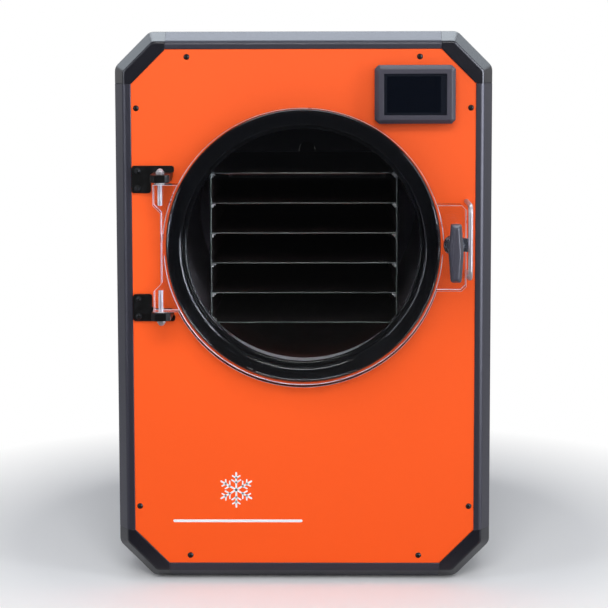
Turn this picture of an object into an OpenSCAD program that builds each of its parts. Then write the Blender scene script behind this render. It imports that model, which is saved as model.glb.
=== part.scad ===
/* [Cabinet] */
// Width across the front frame
body_w = 483; // [430:1:600]
// Height of the front frame
body_h = 710; // [640:1:860]
// Depth from the front panel's face to the back of the rear panel
body_d = 575; // [540:1:760]
// Length of the outer corner chamfers, measured along each side
corner_leg = 45; // [36:1:50]
// Rounding where a side turns into a chamfer
corner_round = 13; // [6:1:15]
// How far the sheet cover sits inside the frame's outline
cover_reveal = 3; // [2:0.5:5]
// Thickness of the sheet cover
cover_t = 1.2; // [0.8:0.1:2]
// Thickness of the base pan
base_t = 1.5; // [1:0.1:3]
// Thickness of the rear panel
rear_t = 1.5; // [1:0.1:3]
// How far the feet stand below the frame
foot_h = 3; // [2:0.5:12]
// Diameter of a rubber foot
foot_d = 24; // [18:1:24]

/* [Front frame] */
// Width of the frame's flat front land
land_w = 9.4; // [7:0.1:13]
// Width of the frame's bevel, seen from the front
bevel_w = 12.8; // [8:0.1:15]
// Depth of the frame's bevel
bevel_d = 20; // [14:0.5:24]
// Depth of the frame bars
frame_d = 34; // [30:1:50]
// Length of the diagonal inner edge of a corner piece, measured along each side
inner_leg = 44; // [36:1:50]
// How far the frame's land stands in front of the panel
lip_t = 1.2; // [0.8:0.1:2]
// How far the panel runs under the land
lip_w = 6; // [4:0.5:7]
// Wall of the hollow frame bars
bar_wall = 2; // [1.5:0.1:2.5]
// Thickness of the front panel
panel_t = 3; // [2:0.1:5]
// Diameter of the panel screws' heads
screw_head_d = 7.6; // [6:0.1:9]

/* [Chamber] */
// Height of the chamber's axis above the bottom of the frame
axis_z = 440; // [436:1:460]
// Inner radius of the chamber
chamber_r = 163; // [150:1:165]
// Wall of the chamber
chamber_t = 3; // [2:0.5:4]
// Length of the chamber's straight barrel behind the panel
chamber_l = 470; // [400:1:480]
// Depth of the chamber's dished end
dish_d = 30; // [20:1:36]
// Outer radius of the foam jacket
foam_r = 200; // [190:1:204]
// Outer radius of the door gasket
gasket_r = 173.5; // [172:0.5:176]
// Inner radius of the door gasket
gasket_bore_r = 148; // [135:1:150]
// How far the gasket stands in front of the panel
gasket_h = 30; // [24:1:36]

/* [Rack] */
// Width over the rack's side plates
rack_w = 242.5; // [200:0.5:244]
// Depth of the rack
rack_d = 423; // [340:1:440]
// How far the rack's front lies behind the panel's face
rack_y = 45; // [20:1:50]
// Spacing of the shelves
shelf_pitch = 39; // [32:0.5:40]
// Thickness of the rack's sheet
rack_t = 1.5; // [1:0.1:2]
// Thickness of the heater mats
mat_t = 1.5; // [1:0.1:2]

/* [Door] */
// Radius of the clear door
door_r = 175.5; // [174.5:0.1:177]
// Thickness of the clear door
door_t = 30; // [20:1:36]
// Distance of the hinge axis from the chamber's axis
hinge_x = 179; // [178:0.5:184]
// Half the height of the door's hinge tab
hinge_tab_z = 79.85; // [70:0.05:90]
// Diameter of the hinge bolts
hinge_bolt_d = 6; // [5:0.5:8]
// Distance of the latch stem to the right of the chamber's axis
latch_x = 188; // [187:0.5:191]
// Height of the latch stem above the chamber's axis
latch_z = 5; // [0:0.5:10]
// Half the height of the door's latch tab
latch_tab_z = 54; // [48:1:56]
// Diameter of the latch stem
stem_d = 12; // [10:0.5:14]
// Diameter of the keeper's rod
keeper_d = 6; // [5.5:0.5:8]
// Height of the latch knob's upper arm above the stem
knob_up = 30; // [28:1:38]
// Length of the latch knob's lower arm below the stem
knob_down = 42; // [34:1:46]

/* [Display] */
// Width of the display housing
display_w = 102; // [94:1:120]
// Height of the display housing
display_h = 74; // [68:1:84]
// How far the display housing stands in front of the panel
display_d = 22; // [16:1:26]
// Width of the screen window
window_w = 79; // [60:1:82]
// Height of the screen window
window_h = 52; // [40:1:56]

/* [Hidden] */
$fn = 96;
// Fits
fit = 0.3;
run_fit = 0.06;
door_gap = 0.3;
washer_gap = 0.15;

// Cabinet
half_w = body_w / 2;
frame_w = land_w + bevel_w;
open_x = half_w - frame_w;
pocket = frame_w - lip_w;
frame_y = -lip_t;
frame_back = frame_y + frame_d;
flange_u = 35;
flange_t = 3;
corner_span = frame_w + inner_leg;
tenon_l = 14;
bar_round = 32;
cover_inner = cover_reveal + cover_t;
cover_back = body_d - rear_t;
cover_lip = 24;
cover_flange = 16;
base_z = cover_inner + base_t;
base_x = half_w - corner_leg - 6;
base_y = frame_back + 12.4;
base_up = 20;
foot_x = half_w - corner_leg - cover_lip + foot_d / 2 - 1;
foot_y = [70, body_d - 45];

// Front panel screws
screw_d = 4;
screw_top_x = 148;
screw_top_in = 32;
screw_side_x = open_x - 6.3;
screw_side_in = 97;
screw_places = [for (sx = [-1, 1]) each [
    [sx * screw_top_x, body_h - screw_top_in],
    [sx * screw_top_x, screw_top_in],
    [sx * screw_side_x, body_h - screw_side_in],
    [sx * screw_side_x, screw_side_in]]];

// Chamber
chamber_or = chamber_r + chamber_t;
rim_y = -(gasket_h - 10);
chamber_flange_r = chamber_or + 20;
dish_r = (chamber_r * chamber_r + dish_d * dish_d) / (2 * dish_d);
dish_y = chamber_l + dish_d - dish_r;
chamber_end = chamber_l + dish_d + chamber_t;
coil_w = 12;
coil_h = 7;
coil_bore_r = chamber_or + fit;
coil_r = coil_bore_r + coil_h;
coil_y = 40;
coil_n = 11;
coil_pitch = (chamber_l - 2 * coil_y) / (coil_n - 1);
foam_y = panel_t + 8;
foam_bore_r = coil_r + fit;
foam_end_t = 18;
foam_back = chamber_end + 3 + foam_end_t;

// Rack
rack_x = rack_w / 2;
rack_low = -sqrt(pow(chamber_r - 0.4, 2) - rack_x * rack_x);
shelf_n = 6;
rack_h = (shelf_n - 1) * shelf_pitch + rack_t;
rack_inner = rack_x - rack_t;
cleat = 5;
cleat_t = 2.4;
cleat_l = 10;
cleat_inset = 2;
mat_inset = 12;

// Door and hinge
door_back = -(gasket_h + door_gap);
door_front = door_back - door_t;
hinge_y = (door_back + door_front) / 2;
tab_x = hinge_x + 8.5;
notch_x = hinge_x - 1;
notch_z = 44.5;
notch_lead = 9.5;
washer_t = 2;
washer_d = 11;
ear_z = hinge_tab_z + washer_gap + washer_t;
ear_t = 10;
ear_w = 24;
ear_chamfer = 5;
ear_y = hinge_y - 12;
bolt_reach = 26.5;
bolt_taper = 6;
bolt_tip_d = 2.4;
bolt_hex_d = 10.8;
bolt_hex_h = 4;
dome_bolt_r = 4.5;
bracket_t = 5;
bracket_corner = 3.5;
bracket_x = [0.5 - open_x, -165];
bracket_step_x = -194.5;
bracket_z = [65, 91, 100];
bracket_screw_x = bracket_x[0] + 7.3;
bracket_screw_z = [71.5, 93.5];

// Latch
latch_tab_x = 204;
latch_chamfer = 6;
cam_y = door_front - 0.7;
cam_t = 6;
cam_r = 13;
cam_short = 17.6;
cam_short_w = 17;
cam_long = 24;
cam_long_w = 8;
nut_t = 6;
nut_d = 20;
cone_r = 13.5;
cone_front_r = 10;
knob_y = cam_y - cam_t - 23;
knob_t = 24;
knob_r = 9;
knob_end = 6.6;
knob_corner = 2.2;
knob_front = knob_y - knob_t;
keeper_x = latch_tab_x + 1 + keeper_d / 2;
keeper_y = cam_y - cam_t - 0.5 - keeper_d / 2;
keeper_z = [latch_z - 42, latch_z + 49];
keeper_bend = 10;
keeper_tail = 12;

// Display
display_x = 141.5;
display_z = body_h - 79.5;
display_bevel = 5;
display_chamfer = 5;
display_lip = 1.5;
neck_w = window_w + 8;
neck_h = window_h + 8;
neck_back = panel_t + 5;
glass_t = 2;
board_t = 1.6;

// Machinery in the base
saddle_y = [110, 410];
saddle_w = 300;
saddle_t = 3;
saddle_h = 300;
saddle_foot = 25;
comp_y = 255;
comp_d = 170;
comp_h = 165;
mount_h = 18;
mount_d = 26;
comp_plate = [210, 150, 3];
comp_mount = [85, 55];
comp_tube = [50, 42];
cond_w = 290;
cond_h = 186;
cond_t = 44;
cond_y = body_d - 118;
cond_z = base_z;
fan_z = cond_z + cond_h / 2;
fan_r = 78;
duct_r = fan_r + 4;
duct_y = cond_y + cond_t;
duct_t = 2;
duct_l = 34;
hub_r = 24;
shaft_d = 6;
fan_y = duct_y + 17;
motor_y = duct_y + duct_l;
motor_r = 28;
motor_l = 26;
drier_x = 110;
drier_z = 70;
drier_d = 22;
tube_d = 8;

// Rear fittings
vac_z = axis_z + 90;
vac_d = 28;
vac_bore = 25;
vac_flange_d = 40;
vac_reach = 25;
drain_y = chamber_l - 20;
drain_z = axis_z - foam_r - 17;
drain_d = 12;
drain_bore = 8;
drain_bend = 14;
valve_d = 24;
valve_l = 30;
valve_z = drain_z;
collar_d = 15;
collar_l = 3;
barb_d = 10;
barb_l = 24;
barb_tip = valve_z - valve_d / 2 - collar_l - barb_l;
lever_l = 46;
valve_stem_d = 8;
inlet_x = -165;
inlet_z = 330;
switch_z = 385;
socket_z = 440;
rocker_r = 11.6;
rocker_w = 16;
rocker_tilt = 10;
rocker_y = body_d - 1;
socket_cut = [27, 20];
switch_cut = [rocker_w + 4, 2 * rocker_r + 4];
board_x = 150;
board_z = 360;
board_w = 120;
board_h = 150;

// The whole part stands on z = 0, centred on its own box
front_reach = knob_front;
rear_reach = body_d + valve_l;
mid_y = (front_reach + rear_reach) / 2;

// An octagon: half width, bottom, top and the leg of its chamfers
function octagon(x, z0, z1, leg) = [
    [-x + leg, z0], [x - leg, z0], [x, z0 + leg], [x, z1 - leg],
    [x - leg, z1], [-x + leg, z1], [-x, z1 - leg], [-x, z0 + leg]];

// The chamfer's leg when an outline is drawn in by t
function drawn_in(leg, t) = leg - t * (2 - sqrt(2));

// The frame's outline, drawn in by t
function outline(t) = octagon(half_w - t, t, body_h - t, drawn_in(corner_leg, t));

// The opening's outline, let out by t
function opening(t) = octagon(open_x + t, frame_w - t, body_h - frame_w + t, drawn_in(inner_leg, -t));

// Moves the machine from the panel's face to the part's own frame
module place() {
    translate([0, -mid_y, foot_h]) children();
}

// A flat shape drawn in x and z, made solid from y0 back to y1
module slab(y0, y1) {
    translate([0, y1, 0]) rotate([90, 0, 0]) linear_extrude(height = y1 - y0) children();
}

// A round bar along y
module rod_y(r, y0, y1) {
    translate([0, y1, 0]) rotate([90, 0, 0]) cylinder(r = r, h = y1 - y0);
}

// Moves to the chamber's axis
module on_axis() {
    translate([0, 0, axis_z]) children();
}

// ---- Front frame ----

// Section of a frame bar: x runs inwards from the outer edge, y runs back from the land
bar_section = [
    [bevel_w, 0], [frame_w, 0], [frame_w, lip_t], [pocket, lip_t],
    [pocket, lip_t + panel_t], [flange_u, lip_t + panel_t],
    [flange_u, lip_t + panel_t + flange_t], [pocket, lip_t + panel_t + flange_t],
    [pocket, frame_d], [cover_inner + bar_wall, frame_d],
    [cover_inner + bar_wall, frame_d + 12], [cover_inner, frame_d + 12],
    [cover_inner, frame_d], [0, frame_d], [0, bevel_d]];

bevel_slope = sqrt(bevel_w * bevel_w + bevel_d * bevel_d);
bevel_line = bevel_w * bevel_d + bar_wall * bevel_slope;
cavity_y = lip_t + bar_wall;
bar_cavity = [
    [bar_wall, (bevel_line - bevel_d * bar_wall) / bevel_w],
    [(bevel_line - bevel_w * cavity_y) / bevel_d, cavity_y],
    [pocket - bar_wall, cavity_y],
    [pocket - bar_wall, frame_d - bar_wall], [bar_wall, frame_d - bar_wall]];

module frame_bar(length) {
    linear_extrude(height = length, center = true) difference() {
        polygon(bar_section);
        polygon(bar_cavity);
    }
}

module frame_bar_top() {
    color([0.17, 0.17, 0.2]) difference() {
        translate([0, frame_y, body_h]) rotate([0, 90, 0]) frame_bar(body_w - 2 * corner_span);
        screw_holes();
    }
}

module frame_bar_bottom() {
    color([0.17, 0.17, 0.2]) difference() {
        translate([0, frame_y, 0]) rotate([0, -90, 0]) frame_bar(body_w - 2 * corner_span);
        screw_holes();
    }
}

module frame_bar_left() {
    color([0.17, 0.17, 0.2]) difference() {
        translate([-half_w, frame_y, body_h / 2]) frame_bar(body_h - 2 * corner_span);
        screw_holes();
        bracket_screw_holes();
    }
}

module frame_bar_right() {
    color([0.17, 0.17, 0.2]) difference() {
        translate([half_w, frame_y, body_h / 2]) mirror([1, 0, 0])
            frame_bar(body_h - 2 * corner_span);
        screw_holes();
        keeper_holes();
    }
}

// The frame's outline with its chamfers rounded, drawn in by t
module round_outline(t, r) {
    offset(r = r, $fn = bar_round) offset(delta = -r) polygon(outline(t));
}

// The bevelled ring that the four corner pieces are cut from
module corner_ring() {
    difference() {
        union() {
            hull() {
                slab(frame_y, frame_y + 0.01) round_outline(bevel_w, corner_round - 5);
                slab(frame_y + bevel_d, frame_back) round_outline(0, corner_round);
            }
            slab(frame_back - 1, frame_back + 12) difference() {
                polygon(outline(cover_inner));
                polygon(outline(cover_inner + bar_wall));
            }
        }
        slab(frame_y - 1, 0) polygon(opening(0));
        slab(-0.01, panel_t) polygon(opening(lip_w));
        slab(panel_t - 0.01, panel_t + flange_t) polygon(opening(frame_w - flange_u));
        slab(panel_t + flange_t - 0.01, frame_back + 13) polygon(opening(lip_w));
    }
}

// The square region that holds one corner piece, top right
module corner_zone() {
    translate([half_w - corner_span, frame_y - 1, body_h - corner_span])
        cube([corner_span + 1, frame_d + 20, corner_span + 1]);
}

// The tenons that plug the corner piece into the hollow bars
module corner_tenons() {
    tenon_y = frame_y + bevel_d + 2;
    tenon_w = pocket - 2 * bar_wall - 2 * fit;
    tenon_t = frame_d - bevel_d - 2 - bar_wall - fit;
    translate([half_w - corner_span - tenon_l, tenon_y, body_h - pocket + bar_wall + fit])
        cube([tenon_l + 1, tenon_t, tenon_w]);
    translate([half_w - pocket + bar_wall + fit, tenon_y, body_h - corner_span - tenon_l])
        cube([tenon_w, tenon_t, tenon_l + 1]);
}

module corner_piece() {
    intersection() {
        corner_ring();
        corner_zone();
    }
    corner_tenons();
}

module frame_corner_top_right() {
    color([0.12, 0.13, 0.16]) corner_piece();
}

module frame_corner_top_left() {
    color([0.12, 0.13, 0.16]) mirror([1, 0, 0]) corner_piece();
}

module frame_corner_bottom_right() {
    color([0.12, 0.13, 0.16]) translate([0, 0, body_h]) mirror([0, 0, 1]) corner_piece();
}

module frame_corner_bottom_left() {
    color([0.12, 0.13, 0.16]) translate([0, 0, body_h]) mirror([0, 0, 1])
        mirror([1, 0, 0]) corner_piece();
}

// ---- Panel and its screws ----

module screw_holes() {
    for (p = screw_places)
        translate([p[0], 0, p[1]]) rod_y(screw_d / 2, -5, panel_t + flange_t + 1);
}

module front_panel() {
    color([1, 0.38, 0.14]) difference() {
        slab(0, panel_t) difference() {
            polygon(opening(lip_w));
            translate([0, axis_z]) circle(r = chamber_or, $fn = 180);
            translate([display_x, display_z]) square([neck_w, neck_h], center = true);
        }
        screw_holes();
        bracket_screw_holes();
        keeper_holes();
    }
}

// A button-head screw whose head rests on y = 0 and whose shank runs back
module button_screw(head_d, shank_d, shank_l) {
    head_h = head_d * 0.3;
    dome_r = (head_d * head_d / 4 + head_h * head_h) / (2 * head_h);
    difference() {
        intersection() {
            translate([0, dome_r - head_h, 0]) sphere(r = dome_r);
            rod_y(head_d / 2, -head_h - 1, 0);
        }
        rotate([0, 30, 0]) rotate([90, 0, 0]) translate([0, 0, head_h * 0.45])
            cylinder(d = head_d * 0.4, h = head_h, $fn = 6);
    }
    rod_y(shank_d / 2, 0, shank_l);
}

module front_panel_screws() {
    color([0.08, 0.08, 0.09]) for (p = screw_places)
        translate([p[0], 0, p[1]])
            button_screw(screw_head_d, screw_d, panel_t + flange_t + 2);
}

// ---- Cover, base and back ----

module side_vents() {
    for (i = [0:7])
        translate([-half_w - 1, body_d - 160, 70 + 16 * i])
            cube([body_w + 2, 90, 5]);
}

module cabinet_cover() {
    color([0.15, 0.15, 0.17]) difference() {
        union() {
            slab(frame_back, cover_back) difference() {
                polygon(outline(cover_reveal));
                polygon(outline(cover_inner));
            }
            slab(cover_back - cover_t, cover_back) difference() {
                polygon(outline(cover_reveal));
                polygon(outline(cover_inner + cover_flange));
            }
        }
        translate([-(half_w - corner_leg - cover_lip), frame_back - 1, -1])
            cube([2 * (half_w - corner_leg - cover_lip), body_d, cover_inner + 1]);
        side_vents();
        rear_screw_holes();
    }
}

module base_pan() {
    color([0.55, 0.57, 0.6]) difference() {
        translate([-base_x, base_y, cover_inner])
            cube([2 * base_x, cover_back - cover_t - base_y, base_up]);
        translate([-base_x + base_t, base_y + base_t, base_z])
            cube([2 * (base_x - base_t), cover_back - cover_t - base_y - 2 * base_t, base_up]);
        rear_screw_holes();
    }
}

module rubber_feet() {
    color([0.05, 0.05, 0.05]) for (x = [-foot_x, foot_x], y = foot_y)
        translate([x, y, -foot_h]) cylinder(d = foot_d, h = foot_h + cover_reveal);
}

rear_in = cover_reveal + 3;
rear_screw_places = [for (sx = [-1, 1]) each [
    [sx * 150, body_h - 14], [sx * 150, 14],
    [sx * (half_w - 14), body_h - 100], [sx * (half_w - 14), body_h / 2],
    [sx * (half_w - 14), 100]]];

module rear_screw_holes() {
    for (p = rear_screw_places)
        translate([p[0], 0, p[1]]) rod_y(screw_d / 2, cover_back - 8, body_d + 1);
}

// Outlet slots in front of the fan, cut to a circle
module fan_grille() {
    translate([0, fan_z]) intersection() {
        circle(r = fan_r);
        for (i = [-7:7]) translate([-fan_r, i * 10 - 3]) square([2 * fan_r, 6]);
    }
}

module rear_panel() {
    color([0.15, 0.15, 0.17]) difference() {
        slab(cover_back, body_d) difference() {
            polygon(outline(rear_in));
            fan_grille();
            translate([0, vac_z]) circle(d = vac_d);
            translate([0, drain_z]) circle(d = drain_d);
            translate([inlet_x, inlet_z]) square(socket_cut, center = true);
            translate([inlet_x, switch_z]) square(switch_cut, center = true);
            translate([inlet_x, socket_z]) square(socket_cut, center = true);
        }
        rear_screw_holes();
    }
}

module rear_panel_screws() {
    color([0.08, 0.08, 0.09]) for (p = rear_screw_places)
        translate([p[0], body_d, p[1]]) rotate([0, 0, 180]) button_screw(8, screw_d, 7);
}

// ---- Display ----

module display_outline(t, y0, y1) {
    slab(y0, y1) polygon(octagon(display_w / 2 - t, -display_h / 2 + t, display_h / 2 - t,
        drawn_in(display_chamfer, t)));
}

module display_bezel() {
    color([0.25, 0.25, 0.29]) translate([display_x, 0, display_z]) difference() {
        union() {
            hull() {
                display_outline(display_bevel, -display_d, -display_d + 0.01);
                display_outline(0, -display_d + display_bevel, 0);
            }
            slab(-1, neck_back) square([neck_w, neck_h], center = true);
        }
        slab(-display_d - 1, -display_d + display_lip + 0.01)
            square([window_w, window_h], center = true);
        slab(-display_d + display_lip, neck_back + 1)
            square([neck_w - 4, neck_h - 4], center = true);
    }
}

module display_screen() {
    color([0.05, 0.06, 0.1]) translate([display_x, 0, display_z])
        slab(-display_d + display_lip, -display_d + display_lip + glass_t)
            square([neck_w - 4, neck_h - 4], center = true);
}

module display_board() {
    color([0.1, 0.4, 0.2]) translate([display_x, 0, display_z]) {
        slab(neck_back, neck_back + board_t) square([neck_w, neck_h], center = true);
        translate([-12, neck_back + board_t, -20]) cube([24, 8, 10]);
        translate([10, neck_back + board_t, 5]) cube([14, 2, 14]);
    }
}

// ---- Vacuum chamber ----

module vacuum_chamber() {
    color([0.6, 0.6, 0.64]) on_axis() difference() {
        union() {
            rod_y(chamber_or, rim_y, chamber_l, $fn = 180);
            rod_y(chamber_flange_r, panel_t, panel_t + 3, $fn = 180);
            intersection() {
                translate([0, dish_y, 0]) sphere(r = dish_r + chamber_t, $fn = 180);
                rod_y(chamber_or, chamber_l - 1, chamber_end + 1, $fn = 180);
            }
        }
        rod_y(chamber_r, rim_y - 1, chamber_l, $fn = 180);
        intersection() {
            translate([0, dish_y, 0]) sphere(r = dish_r, $fn = 180);
            rod_y(chamber_r, chamber_l - 2, chamber_end + 1, $fn = 180);
        }
        translate([0, 0, vac_z - axis_z]) rod_y(vac_bore / 2, chamber_l - 10, chamber_end + 1);
        translate([0, drain_y, -chamber_or - 2]) cylinder(d = drain_bore, h = 20);
    }
}

// Section of the gasket: x is the radius, y runs back from the panel
gasket_land = gasket_bore_r + 11;
gasket_section = [
    [chamber_or, -0.6], [gasket_r, -0.6], [gasket_r, 3 - gasket_h],
    [gasket_r - 0.9, 0.9 - gasket_h], [gasket_r - 3, -gasket_h],
    [gasket_land + 2, -gasket_h], [gasket_land + 0.6, 0.6 - gasket_h], [gasket_land, 2 - gasket_h],
    [gasket_land, 4 - gasket_h], [gasket_bore_r + 3, 4 - gasket_h],
    [gasket_bore_r + 0.9, 4.9 - gasket_h], [gasket_bore_r, 7 - gasket_h],
    [gasket_bore_r, rim_y + 6], [chamber_r, rim_y + 6], [chamber_r, rim_y], [chamber_or, rim_y]];

module door_gasket() {
    color([0.04, 0.04, 0.05]) on_axis() rotate([-90, 0, 0])
        rotate_extrude($fn = 180) polygon(gasket_section);
}

// Flattened tubes round the chamber, joined by two headers
module cooling_coil() {
    last_y = coil_y + (coil_n - 1) * coil_pitch;
    color([0.72, 0.45, 0.3]) on_axis() difference() {
        union() {
            for (i = [0:coil_n - 1])
                translate([0, coil_y + i * coil_pitch, 0]) rod_y(coil_r, -coil_w / 2, coil_w / 2);
            intersection() {
                rod_y(coil_r, coil_y, last_y);
                for (a = [40, 140]) rotate([0, -a, 0])
                    translate([0, coil_y, -coil_w / 2]) cube([foam_r, last_y - coil_y, coil_w]);
            }
        }
        rod_y(coil_bore_r, 0, chamber_l);
    }
}

module insulation_jacket() {
    color([0.85, 0.8, 0.6]) on_axis() difference() {
        rod_y(foam_r, foam_y, foam_back);
        rod_y(foam_bore_r, foam_y - 1, foam_back - foam_end_t);
        translate([0, 0, vac_z - axis_z]) rod_y(vac_d / 2 + fit, chamber_l, foam_back + 1);
        translate([0, drain_y, -foam_r - 1])
            cylinder(d = drain_d + 2 * fit, h = foam_r - foam_bore_r + 12);
    }
}

module chamber_saddles() {
    color([0.5, 0.52, 0.55]) for (y = saddle_y) {
        slab(y, y + saddle_t) difference() {
            translate([-saddle_w / 2, base_z]) square([saddle_w, saddle_h]);
            translate([0, axis_z]) circle(r = foam_r + fit);
            translate([drier_x, drier_z]) circle(d = drier_d + 2 * fit);
        }
        translate([-saddle_w / 2, y, base_z]) cube([saddle_w, saddle_foot, saddle_t]);
    }
}

// ---- Rack ----

module rack_side_right() {
    color([0.45, 0.46, 0.5]) on_axis() translate([rack_inner, rack_y, rack_low])
        cube([rack_t, rack_d, rack_h]);
}

module rack_side_left() {
    color([0.45, 0.46, 0.5]) on_axis() translate([-rack_x, rack_y, rack_low])
        cube([rack_t, rack_d, rack_h]);
}

module shelf(i) {
    color([0.42, 0.42, 0.45]) on_axis()
        translate([-rack_inner, rack_y, rack_low + (i - 1) * shelf_pitch])
            cube([2 * rack_inner, rack_d, rack_t]);
}

// An angle cleat in a right-hand corner under a shelf; flipped where turned is 1
module shelf_angle(turned) {
    mirror([0, 0, turned]) translate([-cleat, 0, -cleat]) difference() {
        cube([cleat, cleat_l, cleat]);
        translate([-1, -1, -1]) cube([cleat - cleat_t + 1, cleat_l + 2, cleat - cleat_t + 1]);
    }
}

module shelf_cleats() {
    color([0.75, 0.75, 0.78]) on_axis() for (i = [0:shelf_n - 1]) {
        z = rack_low + i * shelf_pitch + (i == 0 ? rack_t : 0);
        for (m = [0, 1], y = [rack_y + cleat_inset, rack_y + rack_d - cleat_inset - cleat_l])
            mirror([m, 0, 0]) translate([rack_inner, y, z]) shelf_angle(i == 0 ? 1 : 0);
    }
}

module heater_mats() {
    color([0.45, 0.2, 0.12]) on_axis() for (i = [0:shelf_n - 1])
        translate([-rack_inner + mat_inset, rack_y + mat_inset, rack_low + i * shelf_pitch - mat_t])
            cube([2 * (rack_inner - mat_inset), rack_d - 2 * mat_inset, mat_t]);
}

// ---- Door ----

// Outline of the tab that carries the hinge bolts, notched to clear the gasket
module hinge_tab() {
    polygon([
        [-door_r * 0.6, hinge_tab_z], [-tab_x, hinge_tab_z], [-tab_x, notch_z + notch_lead],
        [-notch_x, notch_z], [-notch_x, -notch_z], [-tab_x, -notch_z - notch_lead],
        [-tab_x, -hinge_tab_z], [-door_r * 0.6, -hinge_tab_z]]);
}

module latch_tab() {
    polygon([
        [door_r * 0.6, latch_tab_z], [latch_tab_x - latch_chamfer, latch_tab_z],
        [latch_tab_x, latch_tab_z - latch_chamfer], [latch_tab_x, latch_chamfer - latch_tab_z],
        [latch_tab_x - latch_chamfer, -latch_tab_z], [door_r * 0.6, -latch_tab_z]]);
}

module door() {
    color([0.85, 0.88, 0.9, 0.35]) on_axis() difference() {
        union() {
            rod_y(door_r, door_front, door_back, $fn = 180);
            slab(door_front, door_back) hinge_tab();
            slab(door_front, door_back) latch_tab();
        }
        for (s = [0, 1]) mirror([0, 0, s])
            translate([-hinge_x, hinge_y, hinge_tab_z - bolt_reach - 1])
                cylinder(d = hinge_bolt_d + 2 * run_fit, h = bolt_reach + 2);
        translate([latch_x, 0, latch_z])
            rod_y(stem_d / 2 + run_fit, door_front - 1, door_back + 1);
    }
}

module bracket_screw_holes() {
    for (s = [0, 1], z = bracket_screw_z)
        translate([bracket_screw_x, 0, axis_z + (s == 0 ? z : -z)])
            rod_y(screw_d / 2, -bracket_t - 1, panel_t + flange_t + 1);
}

// The upper hinge bracket: a plate on the panel with an ear that carries the bolt
module hinge_bracket() {
    ear_x = -hinge_x - ear_w / 2;
    difference() {
        union() {
            slab(-bracket_t, 0) offset(r = bracket_corner, $fn = bar_round)
                offset(delta = -bracket_corner) polygon([
                    [bracket_x[0], bracket_z[0]], [bracket_step_x, bracket_z[0]],
                    [bracket_step_x, ear_z], [ear_x + ear_w, ear_z], [ear_x + ear_w, bracket_z[1]],
                    [bracket_x[1], bracket_z[1]], [bracket_x[1], bracket_z[2]],
                    [bracket_x[0], bracket_z[2]]]);
            translate([0, 0, ear_z]) linear_extrude(height = ear_t) polygon([
                [ear_x, -bracket_t], [ear_x, ear_y + ear_chamfer], [ear_x + ear_chamfer, ear_y],
                [ear_x + ear_w - ear_chamfer, ear_y], [ear_x + ear_w, ear_y + ear_chamfer],
                [ear_x + ear_w, -bracket_t]]);
        }
        translate([-hinge_x, hinge_y, ear_z - 1]) cylinder(d = hinge_bolt_d, h = ear_t + 2);
    }
}

module hinge_bracket_upper() {
    color([0.06, 0.06, 0.06]) difference() {
        on_axis() hinge_bracket();
        bracket_screw_holes();
    }
}

module hinge_bracket_lower() {
    color([0.06, 0.06, 0.06]) difference() {
        on_axis() mirror([0, 0, 1]) hinge_bracket();
        bracket_screw_holes();
    }
}

// A dome-headed hinge bolt through the upper ear, its point in the door's tab
module hinge_bolt() {
    head_z = ear_z + ear_t;
    translate([-hinge_x, hinge_y, 0]) {
        translate([0, 0, hinge_tab_z - bolt_reach + 0.5]) {
            cylinder(d1 = bolt_tip_d, d2 = hinge_bolt_d, h = bolt_taper);
            translate([0, 0, bolt_taper])
                cylinder(d = hinge_bolt_d, h = head_z - hinge_tab_z + bolt_reach - bolt_taper);
        }
        translate([0, 0, head_z]) cylinder(d = bolt_hex_d, h = bolt_hex_h, $fn = 6);
        translate([0, 0, head_z + bolt_hex_h - 1]) intersection() {
            sphere(r = dome_bolt_r);
            cylinder(r = dome_bolt_r, h = dome_bolt_r + 1);
        }
    }
}

module hinge_bolts() {
    color([0.78, 0.8, 0.85]) on_axis() for (s = [0, 1]) mirror([0, 0, s]) hinge_bolt();
}

module hinge_washers() {
    color([0.92, 0.92, 0.9]) on_axis() for (s = [0, 1]) mirror([0, 0, s])
        translate([-hinge_x, hinge_y, ear_z - washer_t]) difference() {
            cylinder(d = washer_d, h = washer_t);
            translate([0, 0, -1]) cylinder(d = hinge_bolt_d, h = washer_t + 2);
        }
}

module hinge_screws() {
    color([0.1, 0.1, 0.1]) on_axis() for (s = [0, 1], z = bracket_screw_z)
        mirror([0, 0, s]) translate([bracket_screw_x, -bracket_t, z])
            button_screw(8.4, screw_d, bracket_t + panel_t + flange_t);
}

// ---- Latch ----

// The stem through the door, with the conical hub that the knob sits on
module latch_stem() {
    color([0.6, 0.62, 0.66]) on_axis() translate([latch_x, 0, latch_z]) {
        rod_y(stem_d / 2, cam_y - cam_t - 1, door_back + washer_gap + nut_t);
        translate([0, cam_y - cam_t, 0]) rotate([90, 0, 0])
            cylinder(r1 = cone_r, r2 = cone_front_r, h = cam_y - cam_t - knob_y);
        difference() {
            translate([0, door_back + washer_gap, 0]) rotate([-90, 0, 0])
                cylinder(d = nut_d, h = nut_t, $fn = 6);
            rod_y(stem_d / 2 - 0.5, door_back, door_back + nut_t + 1);
        }
    }
}

// The two-armed cam between the door and the hub
module latch_cam() {
    color([0.66, 0.7, 0.76]) on_axis() translate([latch_x, 0, latch_z]) {
        slab(cam_y - cam_t, cam_y) difference() {
            union() {
                circle(r = cam_r);
                translate([0, -cam_short_w / 2]) square([cam_short, cam_short_w]);
                translate([-cam_long_w / 2, 0]) square([cam_long_w, cam_long]);
            }
            circle(d = stem_d);
        }
    }
}

// One layer of the knob's bar, its edges drawn in by t
module knob_layer(y0, y1, t) {
    in = knob_corner + t;
    slab(y0, y1) for (s = [-1, 1]) {
        translate([s * (knob_end - in), knob_up - in]) circle(r = knob_corner);
        translate([s * (knob_r - in), -7]) circle(r = knob_corner);
        translate([s * (knob_end - in), in - knob_down]) circle(r = knob_corner);
    }
}

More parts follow.
